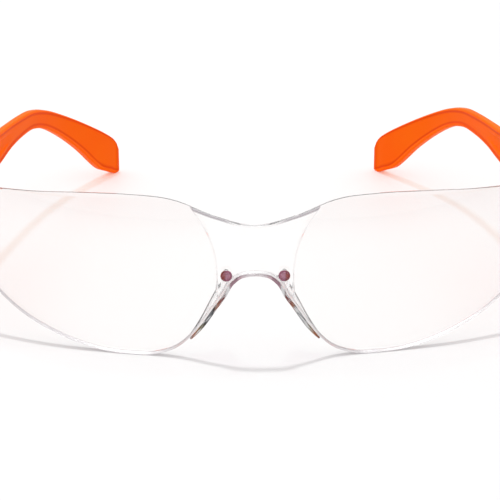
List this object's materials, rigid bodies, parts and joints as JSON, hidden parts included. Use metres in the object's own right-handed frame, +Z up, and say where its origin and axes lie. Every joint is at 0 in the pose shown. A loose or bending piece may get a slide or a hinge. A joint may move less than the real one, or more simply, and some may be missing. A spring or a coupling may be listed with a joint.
{
  "type": "safety glasses",
  "caption": "Wraparound safety glasses with a clear one-piece lens, soft clear nose piece and folding orange temples, standing open on a table.",
  "frame": {"origin": "on the table, under the middle of the whole object", "axes": "+X across the face towards the right temple as seen from the front, +Y from the lens back to the temple tips, +Z up"},
  "size_m": [0.159, 0.1504, 0.0451],
  "materials": {
    "clear_polycarbonate": "clear, polished, hard coated",
    "soft_clear_vinyl": "soft clear, mauve where it is thick",
    "orange_nylon": "satin moulded",
    "steel": "bright plated"
  },
  "bodies": {
    "front": {"lens": "clear_polycarbonate", "nose_piece": "soft_clear_vinyl"},
    "right_temple": {"temple_right": "orange_nylon", "hinge_screw_right": "steel", "hinge_nut_right": "steel"},
    "left_temple": {"temple_left": "orange_nylon", "hinge_screw_left": "steel", "hinge_nut_left": "steel"}
  },
  "joints": [
    {"name": "right_temple_fold", "type": "hinge", "parent": "front", "child": "right_temple", "pos_m": [0.0738, -0.0411, 0.0306], "axis": [0, 0, 1], "range_deg": [0, 76]},
    {"name": "left_temple_fold", "type": "hinge", "parent": "front", "child": "left_temple", "pos_m": [-0.0738, -0.0411, 0.0306], "axis": [0, 0, -1], "range_deg": [0, 84]}
  ]
}
